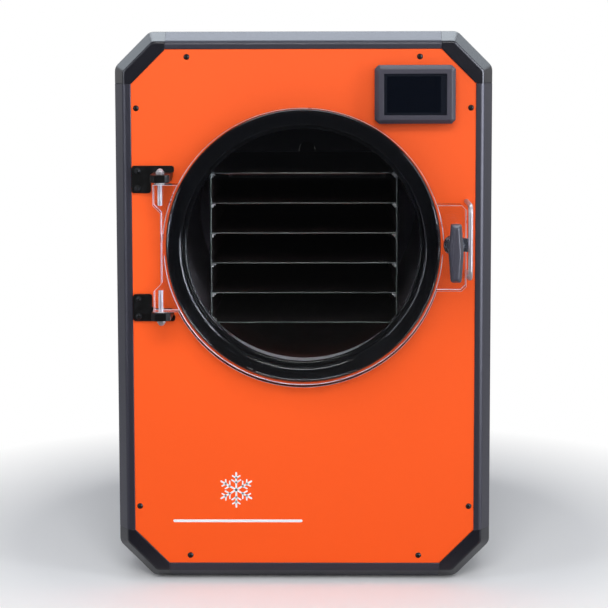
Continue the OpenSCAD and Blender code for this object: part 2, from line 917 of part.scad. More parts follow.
module latch_knob() {
    color([0.15, 0.15, 0.17]) on_axis() translate([latch_x, 0, latch_z]) hull($fn = 32) {
        knob_layer(knob_y - 2, knob_y, 2);
        knob_layer(knob_front + 7, knob_y - 4, 0);
        knob_layer(knob_front, knob_front + 1, 4);
    }
}

module keeper_holes() {
    for (z = keeper_z)
        translate([keeper_x, 0, axis_z + z]) rod_y(keeper_d / 2, -5, panel_t + flange_t + 1);
}

// A quarter bend of the keeper's rod, from a leg into the front bar
module keeper_elbow() {
    rotate([0, 90, 0]) rotate_extrude(angle = 90)
        translate([keeper_bend, 0]) circle(d = keeper_d, $fn = 32);
}

module latch_keeper() {
    color([0.75, 0.74, 0.74]) on_axis() translate([keeper_x, 0, 0]) {
        for (z = keeper_z) translate([0, 0, z])
            rod_y(keeper_d / 2, keeper_y + keeper_bend, keeper_tail, $fn = 32);
        translate([0, keeper_y, keeper_z[0] + keeper_bend])
            cylinder(d = keeper_d, h = keeper_z[1] - keeper_z[0] - 2 * keeper_bend, $fn = 32);
        translate([0, keeper_y + keeper_bend, keeper_z[0] + keeper_bend])
            rotate([-90, 0, 0]) keeper_elbow();
        translate([0, keeper_y + keeper_bend, keeper_z[1] - keeper_bend])
            rotate([180, 0, 0]) keeper_elbow();
    }
}

module keeper_nuts() {
    color([0.6, 0.62, 0.66]) on_axis() for (z = keeper_z)
        translate([keeper_x, panel_t + flange_t, z]) rotate([-90, 0, 0]) difference() {
            cylinder(d = 15, h = 5, $fn = 6);
            translate([0, 0, -1]) cylinder(d = keeper_d, h = 7, $fn = 32);
        }
}

// ---- Refrigeration ----

module compressor_mounts() {
    color([0.06, 0.06, 0.06]) for (x = [-comp_mount[0], comp_mount[0]], y = [-comp_mount[1], comp_mount[1]])
        translate([x, comp_y + y, base_z]) cylinder(d = mount_d, h = mount_h);
}

module compressor() {
    can_z = base_z + mount_h + comp_plate[2];
    tube_top = axis_z - sqrt(foam_r * foam_r - pow(comp_tube[0] - tube_d / 2, 2)) - fit;
    color([0.08, 0.08, 0.09]) {
        translate([-comp_plate[0] / 2, comp_y - comp_plate[1] / 2, base_z + mount_h])
            cube(comp_plate);
        translate([0, comp_y, can_z - 1]) cylinder(d = comp_d, h = comp_h - 22);
        translate([0, comp_y, can_z + comp_h - 23 - comp_d + 22]) intersection() {
            sphere(r = comp_d, $fn = 96);
            translate([0, 0, comp_d - 44]) cylinder(d = comp_d, h = 60);
        }
        translate([comp_tube[0], comp_y + comp_tube[1], can_z + comp_h - 60])
            cylinder(d = tube_d, h = tube_top - can_z - comp_h + 60);
    }
}

module condenser() {
    fin_n = 28;
    tube_n = 6;
    fin_t = 0.6;
    plate = 2;
    color([0.5, 0.4, 0.33]) {
        for (i = [0:fin_n])
            translate([-cond_w / 2 + i * (cond_w - fin_t) / fin_n, cond_y + 4, cond_z + 2])
                cube([fin_t, cond_t - 8, cond_h - 4]);
        for (s = [-1, 1])
            translate([s * (cond_w / 2 - plate / 2) - plate / 2, cond_y, cond_z])
                cube([plate, cond_t, cond_h]);
        for (i = [0:tube_n - 1], y = [0.3, 0.7])
            translate([-cond_w / 2 - 4, cond_y + y * cond_t, cond_z + (i + 0.5) * cond_h / tube_n])
                rotate([0, 90, 0]) cylinder(d = tube_d, h = cond_w + 8, $fn = 24);
    }
}

module fan_shroud() {
    color([0.1, 0.1, 0.1]) {
        slab(duct_y, duct_y + duct_t) difference() {
            translate([-cond_w / 2, cond_z]) square([cond_w, cond_h]);
            translate([0, fan_z]) circle(r = duct_r);
        }
        slab(duct_y, duct_y + duct_l) translate([0, fan_z]) difference() {
            circle(r = duct_r + duct_t);
            circle(r = duct_r);
        }
    }
}

// The fan's motor on three arms that reach the duct's rear edge
module fan_motor() {
    color([0.2, 0.2, 0.22]) translate([0, 0, fan_z]) difference() {
        union() {
            rod_y(motor_r, motor_y - 2, motor_y + motor_l);
            for (a = [90, 210, 330]) rotate([0, a, 0])
                translate([0, motor_y, -5]) cube([duct_r + duct_t, 3, 10]);
        }
        rod_y(shaft_d / 2 + run_fit, motor_y - 5, motor_y + 12);
    }
}

module fan_blades() {
    color([0.25, 0.27, 0.3]) translate([0, 0, fan_z]) {
        rod_y(hub_r, fan_y - 9, fan_y + 9);
        intersection() {
            rod_y(fan_r, fan_y - 11, fan_y + 11);
            for (i = [0:4]) rotate([0, i * 72, 0]) translate([0, fan_y, 0]) rotate([28, 0, 0])
                translate([hub_r - 4, -1, -22]) cube([fan_r, 2, 44]);
        }
        rod_y(shaft_d / 2, fan_y, motor_y + 11);
    }
}

module filter_drier() {
    near_x = drier_x - tube_d / 2;
    up_z = axis_z - sqrt(foam_r * foam_r - near_x * near_x) - fit - drier_z;
    color([0.75, 0.45, 0.3]) translate([drier_x, 0, drier_z]) {
        rod_y(tube_d / 2, cond_y - 130, cond_y + 4, $fn = 24);
        rod_y(drier_d / 2, cond_y - 110, cond_y - 30, $fn = 48);
        translate([0, cond_y - 130, 0]) sphere(d = tube_d, $fn = 24);
        translate([0, cond_y - 130, 0]) cylinder(d = tube_d, h = up_z, $fn = 24);
    }
}

// ---- Rear fittings ----

module vacuum_pipe() {
    pipe_y = chamber_l + dish_d - 6;
    color([0.7, 0.71, 0.74]) translate([0, 0, vac_z]) difference() {
        union() {
            rod_y(vac_d / 2, pipe_y, body_d + vac_reach);
            rod_y(vac_flange_d / 2, body_d + vac_reach - 4, body_d + vac_reach);
        }
        rod_y(vac_bore / 2, pipe_y - 1, body_d + vac_reach + 1);
        intersection() {
            translate([0, dish_y, axis_z - vac_z]) sphere(r = dish_r + chamber_t, $fn = 180);
            rod_y(vac_d, pipe_y - 1, chamber_end + 1);
        }
    }
}

module drain_pipe() {
    top_z = axis_z - chamber_or;
    color([0.7, 0.71, 0.74]) difference() {
        union() {
            translate([0, drain_y, drain_z + drain_bend])
                cylinder(d = drain_d, h = top_z - drain_z - drain_bend + 4);
            translate([0, drain_y + drain_bend, drain_z + drain_bend]) rotate([0, -90, 0])
                rotate([0, 0, 180]) rotate_extrude(angle = 90)
                    translate([drain_bend, 0]) circle(d = drain_d);
            translate([0, 0, drain_z]) rod_y(drain_d / 2, drain_y + drain_bend, body_d);
        }
        translate([0, 0, axis_z]) rod_y(chamber_or, drain_y - 20, drain_y + 20, $fn = 180);
        translate([0, drain_y, drain_z + drain_bend]) cylinder(d = drain_bore, h = 90);
        translate([0, drain_y + drain_bend, drain_z + drain_bend]) rotate([0, -90, 0])
            rotate([0, 0, 180]) rotate_extrude(angle = 90)
                translate([drain_bend, 0]) circle(d = drain_bore);
        translate([0, 0, drain_z]) rod_y(drain_bore / 2, drain_y + drain_bend, body_d + 1);
    }
}

// The quarter-turn drain valve, its hose barb pointing down
module drain_valve() {
    color([0.72, 0.6, 0.35]) difference() {
        union() {
            translate([0, 0, valve_z]) rod_y(valve_d / 2, body_d, body_d + valve_l);
            translate([0, body_d + valve_l / 2, barb_tip]) cylinder(d = barb_d, h = barb_l + 1);
            translate([0, body_d + valve_l / 2, barb_tip + barb_l])
                cylinder(d = collar_d, h = valve_d + collar_l + 5);
        }
        translate([0, 0, valve_z]) rod_y(drain_bore / 2, body_d - 1, body_d + valve_l / 2);
        translate([0, body_d + valve_l / 2, barb_tip - 1])
            cylinder(d = 6, h = valve_z - barb_tip + 1);
        translate([0, body_d + valve_l / 2, valve_z + 6])
            cylinder(d = valve_stem_d + 2 * run_fit, h = valve_d);
    }
}

module drain_lever() {
    top = valve_z + valve_d / 2 + 5;
    color([0.7, 0.1, 0.08]) translate([0, body_d + valve_l / 2, 0]) {
        translate([0, 0, valve_z + 6.4]) cylinder(d = valve_stem_d, h = top - valve_z - 4);
        translate([0, 0, top + fit]) linear_extrude(height = 4) {
            circle(d = 16);
            translate([0, -5]) square([lever_l - 5, 10]);
            translate([lever_l - 5, 0]) circle(d = 10);
        }
    }
}

// Three contacts of an appliance connector, from y0 back to y1
module contacts(w, h, y0, y1) {
    for (p = [[-6, -2], [6, -2], [0, 3]])
        translate([p[0], 0, p[1]]) slab(y0, y1) square([w, h], center = true);
}

// A recessed appliance connector in the rear panel, with blades or with slots for them
module appliance_socket(blades) {
    difference() {
        union() {
            slab(body_d, body_d + 4) square([40, 30], center = true);
            slab(cover_back - 22, body_d + 1) square(socket_cut, center = true);
        }
        slab(body_d - 12, body_d + 5) square([22, 15], center = true);
        if (!blades) contacts(2.5, 5, body_d - 20, body_d - 11);
    }
    if (blades) contacts(2, 4, body_d - 13, body_d + 1);
}

module power_inlet() {
    color([0.05, 0.05, 0.05]) translate([inlet_x, 0, inlet_z]) appliance_socket(true);
}

module pump_socket() {
    color([0.05, 0.05, 0.05]) translate([inlet_x, 0, socket_z]) appliance_socket(false);
}

module switch_housing() {
    color([0.05, 0.05, 0.05]) translate([inlet_x, 0, switch_z]) difference() {
        union() {
            slab(body_d, body_d + 2) square([rocker_w + 10, 2 * rocker_r + 12], center = true);
            slab(cover_back - 18, body_d + 1) square(switch_cut, center = true);
        }
        translate([-rocker_w / 2 - fit, rocker_y, 0]) rotate([0, 90, 0])
            cylinder(r = rocker_r + fit, h = rocker_w + 2 * fit);
        translate([-rocker_w / 2 - 1.7, rocker_y, 0]) rotate([0, 90, 0])
            cylinder(d = 3 + 2 * run_fit, h = rocker_w + 3.4, $fn = 32);
    }
}

// The rocker at rest, its upper half pressed in
module power_rocker() {
    color([0.6, 0.05, 0.05]) translate([inlet_x, rocker_y, switch_z])
        rotate([rocker_tilt, 0, 0]) {
            difference() {
                translate([-rocker_w / 2, 0, 0]) rotate([0, 90, 0])
                    cylinder(r = rocker_r, h = rocker_w);
                for (s = [0, 1]) mirror([0, 0, s]) translate([-rocker_w, 4.6, 0])
                    rotate([rocker_tilt, 0, 0]) translate([0, 0, -5])
                        cube([2 * rocker_w, 20, 40]);
            }
            translate([-rocker_w / 2 - 1.5, 0, 0]) rotate([0, 90, 0])
                cylinder(d = 3, h = rocker_w + 3, $fn = 32);
        }
}

module control_board() {
    color([0.1, 0.4, 0.2]) translate([board_x, 0, board_z]) {
        slab(cover_back - 12, cover_back - 10)
            translate([-board_w / 2, -board_h / 2]) square([board_w, board_h]);
        for (x = [-1, 1], z = [-1, 1])
            translate([x * (board_w / 2 - 6), 0, z * (board_h / 2 - 6)])
                rod_y(3, cover_back - 11, cover_back, $fn = 24);
        translate([-45, cover_back - 46, -60]) cube([44, 35, 50]);
        for (i = [0:3]) translate([20, 0, -55 + 26 * i])
            rod_y(9, cover_back - 36, cover_back - 11, $fn = 32);
        translate([-50, cover_back - 26, 5]) cube([40, 15, 55]);
    }
}

// ---- Nodes ----

place() frame_bar_top();
place() frame_bar_bottom();
place() frame_bar_left();
place() frame_bar_right();
place() frame_corner_top_left();
place() frame_corner_top_right();
place() frame_corner_bottom_left();
place() frame_corner_bottom_right();
place() front_panel();
place() front_panel_screws();
place() cabinet_cover();
place() base_pan();
place() rear_panel();
place() rear_panel_screws();
place() rubber_feet();
place() display_bezel();
place() display_screen();
place() display_board();
place() vacuum_chamber();
place() door_gasket();
place() cooling_coil();
place() insulation_jacket();
place() chamber_saddles();
place() rack_side_left();
place() rack_side_right();
place() shelf(1);  // shelf_1
place() shelf(2);  // shelf_2
place() shelf(3);  // shelf_3
place() shelf(4);  // shelf_4
place() shelf(5);  // shelf_5
place() shelf(6);  // shelf_6
place() shelf_cleats();
place() heater_mats();
place() door();
place() hinge_bracket_upper();
place() hinge_bracket_lower();
place() hinge_bolts();
place() hinge_washers();
place() hinge_screws();
place() latch_knob();
place() latch_stem();
place() latch_cam();
place() latch_keeper();
place() keeper_nuts();
place() compressor();
place() compressor_mounts();
place() condenser();
place() fan_shroud();
place() fan_motor();
place() fan_blades();
place() filter_drier();
place() control_board();
place() power_inlet();
place() switch_housing();
place() power_rocker();
place() pump_socket();
place() vacuum_pipe();
place() drain_pipe();
place() drain_valve();
place() drain_lever();
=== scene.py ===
import math

import bmesh
import bpy
from mathutils import Matrix, Vector


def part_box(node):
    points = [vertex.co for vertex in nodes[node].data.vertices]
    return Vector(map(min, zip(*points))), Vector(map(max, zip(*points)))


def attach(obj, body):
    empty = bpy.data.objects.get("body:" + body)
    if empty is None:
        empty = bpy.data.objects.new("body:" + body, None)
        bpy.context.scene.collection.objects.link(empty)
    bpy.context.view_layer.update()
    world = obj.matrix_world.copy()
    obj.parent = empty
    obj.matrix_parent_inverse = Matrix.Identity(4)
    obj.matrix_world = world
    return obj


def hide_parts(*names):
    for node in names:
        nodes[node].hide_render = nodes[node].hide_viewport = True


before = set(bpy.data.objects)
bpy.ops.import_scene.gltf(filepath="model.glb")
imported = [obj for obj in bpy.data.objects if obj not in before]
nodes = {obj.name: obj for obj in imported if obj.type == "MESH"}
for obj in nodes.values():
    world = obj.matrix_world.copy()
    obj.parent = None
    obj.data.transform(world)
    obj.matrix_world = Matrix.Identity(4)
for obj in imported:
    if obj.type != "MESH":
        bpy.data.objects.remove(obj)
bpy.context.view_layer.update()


# ---- Camera ----
# It stands well in front of the machine, level with its top, and looks down on it,
# with the lens shifted down a little to keep the sides upright.
bpy.ops.object.camera_add(
    location=(0.0283, -2.5906, 0.7101),
    rotation=(math.radians(84.639), math.radians(0.131), math.radians(0.663)))
camera = bpy.context.object
camera.data.lens = 109.2
camera.data.shift_y = -0.16
bpy.context.scene.camera = camera
bpy.context.scene.view_settings.view_transform = "Standard"


# ---- Studio ----
# A white floor in a white surround, with a wide softbox overhead, a tall one on each
# side and soft fills in front. The sheens light gloss alone and run down the bevels.
class Field:
    """An output socket of a node tree. Arithmetic on it adds Math nodes."""

    def __init__(self, finish, socket):
        self.finish = finish
        self.socket = socket

    def sum(self, operation, first, second):
        return self.finish.add("ShaderNodeMath", {0: first, 1: second}, operation=operation)

    def __add__(self, other):
        return self.sum("ADD", self, other)

    def __radd__(self, other):
        return self.sum("ADD", other, self)

    def __rsub__(self, other):
        return self.sum("SUBTRACT", other, self)

    def __mul__(self, other):
        return self.sum("MULTIPLY", self, other)

    def __rmul__(self, other):
        return self.sum("MULTIPLY", other, self)

    def __gt__(self, other):
        return self.sum("GREATER_THAN", self, other)

    def __lt__(self, other):
        return self.sum("LESS_THAN", self, other)

    def size(self):
        return self.sum("ABSOLUTE", self, 0.0)

    def ramp(self, low, high):
        """0 below low, 1 above high, and straight between them."""
        return self.finish.add("ShaderNodeMapRange", {0: self, 1: low, 2: high})


class Finish:
    """A node tree for one finish, whose patterns read the piece's own coordinates."""

    def __init__(self, name, owner=None):
        self.material = owner or bpy.data.materials.new(name)
        self.material.use_nodes = True
        self.tree = self.material.node_tree
        self.tree.nodes.clear()
        self.place = self.add("ShaderNodeTexCoord", out="Object")

    def add(self, kind, values=None, out=0, **settings):
        """Adds a node, gives it its settings, then fills or links its sockets."""
        made = self.tree.nodes.new(kind)
        for setting, value in settings.items():
            if setting == "stops":
                ramp = made.color_ramp
                while len(ramp.elements) < len(value):
                    ramp.elements.new(0.5)
                for stop, (position, colour) in zip(ramp.elements, value):
                    stop.position = position
                    stop.color = colour
            else:
                setattr(made, setting, value)
        for socket, value in (values or {}).items():
            if isinstance(value, Field):
                self.tree.links.new(value.socket, made.inputs[socket])
            else:
                made.inputs[socket].default_value = value
        return Field(self, made.outputs[out])

    def axis(self, letter):
        """How far along x, y or z a point lies."""
        return self.add("ShaderNodeSeparateXYZ", {0: self.place}, out=letter.upper())

    def stretched(self, x, y, z):
        """The piece's coordinates, scaled so that a pattern runs long one way."""
        return self.add("ShaderNodeMapping", {"Vector": self.place, "Scale": (x, y, z)})

    def cloud(self, scale, detail=2.0, place=None):
        """Soft noise round one half."""
        return self.add("ShaderNodeTexNoise",
                        {"Vector": place or self.place, "Scale": scale, "Detail": detail})

    def mix(self, share, first, second):
        """The first colour where share is 0, the second where it is 1."""
        return self.add("ShaderNodeMix", {0: share, 6: first, 7: second}, out=2,
                        data_type="RGBA")

    def relief(self, height, depth):
        """A bump from a height of 0 to 1 over a depth in metres."""
        return self.add("ShaderNodeBump", {"Height": height, "Distance": depth})

    def surface(self, **sockets):
        """The Principled shader; an underscore in a name stands for a space."""
        named = {name.replace("_", " "): value for name, value in sockets.items()}
        shader = self.add("ShaderNodeBsdfPrincipled", named, out="BSDF")
        self.add_output(shader)
        return shader

    def add_output(self, shader):
        kind = "ShaderNodeOutputMaterial"
        if isinstance(self.material, bpy.types.World):
            kind = "ShaderNodeOutputWorld"
        end = self.tree.nodes.new(kind)
        self.tree.links.new(shader.socket, end.inputs["Surface"])


def grey(level, blue=0.0):
    """A grey of that strength, with a little blue in it."""
    return (level * (1 - blue), level * (1 - blue / 2), level * (1 + blue), 1.0)


# The surround lights matt paint from all sides, and is white to the camera, behind
# clear acrylic, and in gloss where the reflection comes from behind the machine.
world = bpy.data.worlds.new("surround")
bpy.context.scene.world = world
sky = Finish("surround", world)
seen = sky.add("ShaderNodeLightPath", out="Is Camera Ray")
through = sky.add("ShaderNodeLightPath", out="Is Transmission Ray")
mirrored = sky.add("ShaderNodeLightPath", out="Is Glossy Ray")
direction = sky.add("ShaderNodeTexCoord", out="Generated")
backwards = sky.add("ShaderNodeSeparateXYZ", {0: direction}, out="Y")
sideways = (backwards > -0.2) * (backwards < 0.93)
dim = sky.add("ShaderNodeBackground", {"Color": grey(0.36, 0.05), "Strength": 1.0})
dark = sky.add("ShaderNodeBackground", {"Color": grey(0.03, 0.1), "Strength": 1.0})
white = sky.add("ShaderNodeBackground", {"Color": grey(1.0), "Strength": 1.0})
unlit = sky.add("ShaderNodeMixShader", {0: (mirrored + through).ramp(0, 1), 1: dim, 2: dark})
bare = seen + through * sideways + mirrored * backwards.ramp(0.15, 0.5)
sky.add_output(sky.add("ShaderNodeMixShader", {0: bare.ramp(0, 1), 1: unlit, 2: white}))


def softbox(name, place, target, size, power, colour=(1, 1, 1), gloss=True, matt=True):
    """A flat light at a place, turned to its target. It may leave out gloss or matt."""
    bpy.ops.object.light_add(type="AREA", location=place)
    lamp = bpy.context.object
    lamp.name = name
    lamp.rotation_euler = (Vector(target) - Vector(place)).to_track_quat("-Z", "Y").to_euler()
    lamp.data.shape = "RECTANGLE"
    lamp.data.size, lamp.data.size_y = size
    lamp.data.energy = power
    lamp.data.color = colour
    lamp.visible_camera = False
    lamp.visible_glossy = lamp.visible_transmission = gloss
    lamp.visible_diffuse = matt


softbox("top_softbox", (0, 0.0, 2.4), (0, -0.1, 0.4), (2.6, 1.6), 10, (0.93, 0.97, 1.0))
softbox("left_softbox", (-2.0, -1.5, 1.0), (0, -0.2, 0.4), (0.5, 1.9), 12, (0.92, 0.95, 1.0))
softbox("right_softbox", (2.0, -1.5, 1.0), (0, -0.2, 0.4), (0.5, 1.9), 15, (0.95, 0.97, 1.0))
softbox("front_fill", (0.0, -2.7, 2.15), (0, -0.2, 0.35), (1.6, 0.6), 29)
softbox("low_fill", (0.0, -2.6, 1.0), (0, -0.2, 0.35), (2.0, 0.9), 15, gloss=False)
softbox("top_sheen", (0, 0.35, 2.2), (0, -0.2, 0.6), (2.0, 1.4), 44, (0.82, 0.92, 1.0),
        matt=False)
for side, width, power in ((-1, 0.55, 10), (1, 1.4, 85)):
    softbox("corner_sheen", (side * 1.7, 0.8, 2.0), (side * 0.2, -0.25, 0.65), (1.2, 1.2), 9,
            (0.78, 0.9, 1.0), matt=False)
    softbox("side_sheen", (side * 2.0, -1.4, 1.0), (0, -0.2, 0.4), (width, 2.1), power,
            (0.84, 0.88, 1.0), matt=False)

# The floor keeps the machine's shadow and turns plain white further out. In gloss it
# is dark in front of the machine.
shadow_ends, white_from = 0.4, 0.75
bpy.ops.mesh.primitive_plane_add(size=14, location=(0, 0, 0))
floor = bpy.context.object
floor.name = "floor"
paper = Finish("floor_paper")
distance = paper.add("ShaderNodeVectorMath", {0: paper.place}, out="Value", operation="LENGTH")
far = distance.ramp(shadow_ends, white_from)
looked_at = paper.add("ShaderNodeLightPath", out="Is Camera Ray")
reflected_in = paper.add("ShaderNodeLightPath", out="Is Glossy Ray")
behind = paper.axis("y").ramp(-0.4, -0.2)
in_gloss = paper.mix(behind, grey(0.04), grey(0.85))
in_light = paper.mix(looked_at, grey(0.6), grey(0.93))
shade = paper.mix(reflected_in, in_light, in_gloss)
sheet = paper.add("ShaderNodeBsdfDiffuse", {"Color": shade})
glow = paper.add("ShaderNodeEmission", {"Color": grey(1.0), "Strength": 1.0})
paper.add_output(paper.add("ShaderNodeMixShader", {0: far * looked_at, 1: sheet, 2: glow}))
floor.data.materials.append(paper.material)


# ---- Frame bars ----
# Four hollow extrusions round the front, each with a flat land and a wide bevel,
# in graphite powder coat with a fine metallic grain. Their long edges are eased.
def only(piece):
    """Selects one piece and nothing else."""
    bpy.ops.object.select_all(action="DESELECT")
    piece.select_set(True)
    bpy.context.view_layer.objects.active = piece


def fit(piece, finish, body="cabinet", stands_for=()):
    """Gives a finished piece its coat and fixes it to a body of the machine."""
    piece.data.materials.clear()
    piece.data.materials.append(finish.material)
    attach(piece, body)
    if stands_for:
        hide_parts(*stands_for)


def round_edges(piece, width, shortest=0.004, segments=2, sharp=30, where=None):
    """Rounds every edge that is sharp and long enough, and that where accepts."""
    only(piece)
    bpy.ops.object.mode_set(mode="EDIT")
    bpy.ops.mesh.select_mode(type="EDGE")
    bpy.ops.mesh.select_all(action="DESELECT")
    shape = bmesh.from_edit_mesh(piece.data)
    for edge in shape.edges:
        edge.select_set(
            len(edge.link_faces) == 2 and edge.calc_length() > shortest
            and edge.calc_face_angle(0) > math.radians(sharp)
            and (where is None or where(edge)))
    bmesh.update_edit_mesh(piece.data)
    bpy.ops.mesh.bevel(offset=width, segments=segments, affect="EDGES", clamp_overlap=False)
    bpy.ops.object.mode_set(mode="OBJECT")
    bpy.ops.object.shade_smooth_by_angle(angle=math.radians(35))
    flats = piece.modifiers.new("flats", "WEIGHTED_NORMAL")
    flats.keep_sharp = True
    bpy.ops.object.modifier_apply(modifier=flats.name)


def between_land_and_bevel(edge):
    """True for an edge with a flat front face on one side and a slope on the other."""
    front, slope = sorted(face.normal.y for face in edge.link_faces)
    return front < -0.99 and -0.8 < slope < -0.3


def worked(node, name, finish, slot, body="cabinet", land=0.0, **rounding):
    """A CAD node's shape, its loose triangles joined and its edges rounded.

    land is the width of the rounding between a front land and its bevel.
    """
    touching, level = 2e-6, math.radians(0.3)
    piece = bpy.data.objects.new(name, nodes[node].data.copy())
    bpy.context.collection.objects.link(piece)
    only(piece)
    bpy.ops.mesh.customdata_custom_splitnormals_clear()
    bpy.ops.object.mode_set(mode="EDIT")
    bpy.ops.mesh.select_all(action="SELECT")
    bpy.ops.mesh.remove_doubles(threshold=touching)
    bpy.ops.mesh.dissolve_limited(angle_limit=level)
    bpy.ops.object.mode_set(mode="OBJECT")
    if land:
        round_edges(piece, land, shortest=0, segments=5, where=between_land_and_bevel)
    round_edges(piece, **rounding)
    fit(piece, finish, body, [node])
    return piece


bar_coat = Finish("graphite_coat")
grain = bar_coat.cloud(1500, 3)
fleck = bar_coat.add("ShaderNodeTexVoronoi", {"Vector": bar_coat.place, "Scale": 2600})
graphite = bar_coat.mix(fleck.ramp(0.25, 0.6), (0.036, 0.035, 0.055, 1),
                        (0.022, 0.021, 0.034, 1))
bar_coat.surface(
    Base_Color=graphite,
    Metallic=0.25, Roughness=0.32 + 0.16 * grain, Specular_IOR_Level=0.75,
    Normal=bar_coat.relief(grain, 0.00006))

for side in ("top", "bottom", "left", "right"):
    worked("frame_bar_" + side, side + "_bar", bar_coat, "frame_paint",
           land=0.004, width=0.0008, shortest=0.02)


# ---- Frame corners ----
# Four castings plug into the ends of the bars. They are darker and smoother than
# the bars, and their outer edges are rounded over.
corner_coat = Finish("casting_coat")
skin = corner_coat.cloud(420, 3)
corner_coat.surface(
    Base_Color=corner_coat.mix(skin, (0.005, 0.005, 0.009, 1), (0.011, 0.011, 0.019, 1)),
    Metallic=0.2, Roughness=0.24 + 0.14 * skin, Specular_IOR_Level=0.75,
    Normal=corner_coat.relief(skin, 0.00008))

for side in ("top_left", "top_right", "bottom_left", "bottom_right"):
    worked("frame_corner_" + side, side + "_casting", corner_coat, "corner_cast",
           land=0.0024, width=0.0012, shortest=0.001, segments=3, sharp=18)


# ---- Front panel ----
# A steel sheet in satin orange powder coat. The coat has a faint orange peel, and
# its colour is painted a little lighter towards the top, as painted light from above.
def dress(finish, *names):
    """Gives CAD nodes whose shape is right their finish."""
    for name in names:
        nodes[name].data.materials[0] = finish.material


orange = Finish("orange_coat")
peel = orange.cloud(260, 2)
drift = orange.cloud(5, 1)
# Painted light: the coat turns a little lighter and paler towards the top.
painted_top_light = orange.axis("z").ramp(0.0, 0.7)
painted_light_tone = orange.mix(painted_top_light, (0.94, 0.096, 0.007, 1), (0.95, 0.108, 0.011, 1))
orange.surface(
    Base_Color=orange.mix(drift.ramp(0.35, 0.75) * 0.12, painted_light_tone, (0.88, 0.084, 0.006, 1)),
    Roughness=0.4 + 0.1 * peel, Specular_IOR_Level=0.22, Normal=orange.relief(peel, 0.00003))
dress(orange, "front_panel")


# ---- Front mark ----
# A plain snowflake over a thin rule, printed in white at the foot of the panel. Each
# of the flake's six arms carries two pairs of twigs, and all strokes have round ends.
ink = Finish("white_ink")
speckle = ink.cloud(900, 2)
ink.surface(Base_Color=ink.mix(speckle, grey(0.83), grey(0.9)), Roughness=0.4 + 0.1 * speckle)
ink_depth = 0.0002
panel_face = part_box("front_panel")[0].y
flake = Vector((-0.088, panel_face, 0.1215))
arm_length, arm_width = 0.0225, 0.0024
twigs, twig_width, twig_lean = ((0.0095, 0.0065), (0.0155, 0.0055)), 0.0019, math.radians(58)
rule_left, rule_right, rule_drop, rule_width = -0.080, 0.084, -0.041, 0.0036


def printed_bar(start, end, width):
    """A bar of ink from one point of the panel to another, with rounded ends."""
    run = end - start
    bpy.ops.mesh.primitive_cube_add(size=1, location=(0, 0, 0))
    bar = bpy.context.object
    bar.dimensions = (run.length + width, ink_depth, width)
    bpy.ops.object.transform_apply(scale=True)
    bpy.ops.object.mode_set(mode="EDIT")
    bpy.ops.mesh.select_mode(type="EDGE")
    bpy.ops.mesh.select_all(action="DESELECT")
    shape = bmesh.from_edit_mesh(bar.data)
    for edge in shape.edges:
        edge.select_set(abs(edge.verts[0].co.y - edge.verts[1].co.y) > ink_depth / 2)
    bmesh.update_edit_mesh(bar.data)
    nearly_half = 0.49
    bpy.ops.mesh.bevel(offset=width * nearly_half, segments=5, affect="EDGES")
    bpy.ops.object.mode_set(mode="OBJECT")
    bar.data.transform(Matrix.Translation((start + end) / 2) @ Matrix.Rotation(
        -math.atan2(run.z, run.x), 4, "Y"))
    return bar


strokes = []
for turn in range(6):
    angle = math.radians(30 + 60 * turn)
    arm = Vector((math.cos(angle), 0, math.sin(angle)))
    strokes.append(printed_bar(flake, flake + arm * arm_length, arm_width))
    for reach, twig in twigs:
        for lean in (angle - twig_lean, angle + twig_lean):
            way = Vector((math.cos(lean), 0, math.sin(lean)))
            knot = flake + arm * reach
            strokes.append(printed_bar(knot, knot + way * twig, twig_width))
strokes.append(printed_bar(flake + Vector((rule_left, 0, rule_drop)),
                           flake + Vector((rule_right, 0, rule_drop)), rule_width))
bpy.ops.object.select_all(action="DESELECT")
for stroke in strokes:
    stroke.select_set(True)
bpy.context.view_layer.objects.active = strokes[0]
bpy.ops.object.join()
strokes[0].name = "front_mark"
fit(strokes[0], ink)


# ---- Screws ----
# Button-head steel screws with hexagon sockets, in black oxide that is a little worn.
# They hold the front and back panels and the hinge plates.
black_screw = Finish("black_oxide")
wipe = black_screw.cloud(300, 3)
black_screw.surface(
    Base_Color=black_screw.mix(wipe.ramp(0.45, 0.7), grey(0.012), grey(0.04, 0.1)),
    Metallic=0.6, Roughness=0.3 + 0.2 * wipe)
dress(black_screw, "front_panel_screws", "rear_panel_screws", "hinge_screws")


# ---- Cover and back ----
# A folded sheet cover with side vents, and a rear panel with slots for the fan, both
# in textured black powder coat. The rear panel is screwed on.
cover_coat = Finish("black_texture")
texture = cover_coat.cloud(700, 4)
dust = cover_coat.cloud(9, 3)
cover_coat.surface(
    Base_Color=cover_coat.mix(dust.ramp(0.45, 0.9), grey(0.02, 0.1), grey(0.032, 0.1)),
    Roughness=0.5 + 0.15 * texture, Normal=cover_coat.relief(texture, 0.0001))
worked("cabinet_cover", "sheet_cover", cover_coat, "cover_paint", width=0.0004, segments=1)
worked("rear_panel", "back_sheet", cover_coat, "cover_paint", width=0.0004, segments=1)


# ---- Base pan and saddles ----
# The pan that closes the machine from below and the two saddles under the chamber
# are folded from galvanised sheet, whose zinc shows its spangle.
zinc = Finish("zinc_sheet")
spangle = zinc.add("ShaderNodeTexVoronoi", {"Vector": zinc.place, "Scale": 130}, out="Color")
tint = zinc.add("ShaderNodeSeparateColor", {0: spangle})
zinc.surface(Base_Color=zinc.mix(tint, grey(0.3, 0.05), grey(0.46, 0.05)), Metallic=0.9,
             Roughness=0.36 + 0.2 * tint)
dress(zinc, "base_pan", "chamber_saddles")


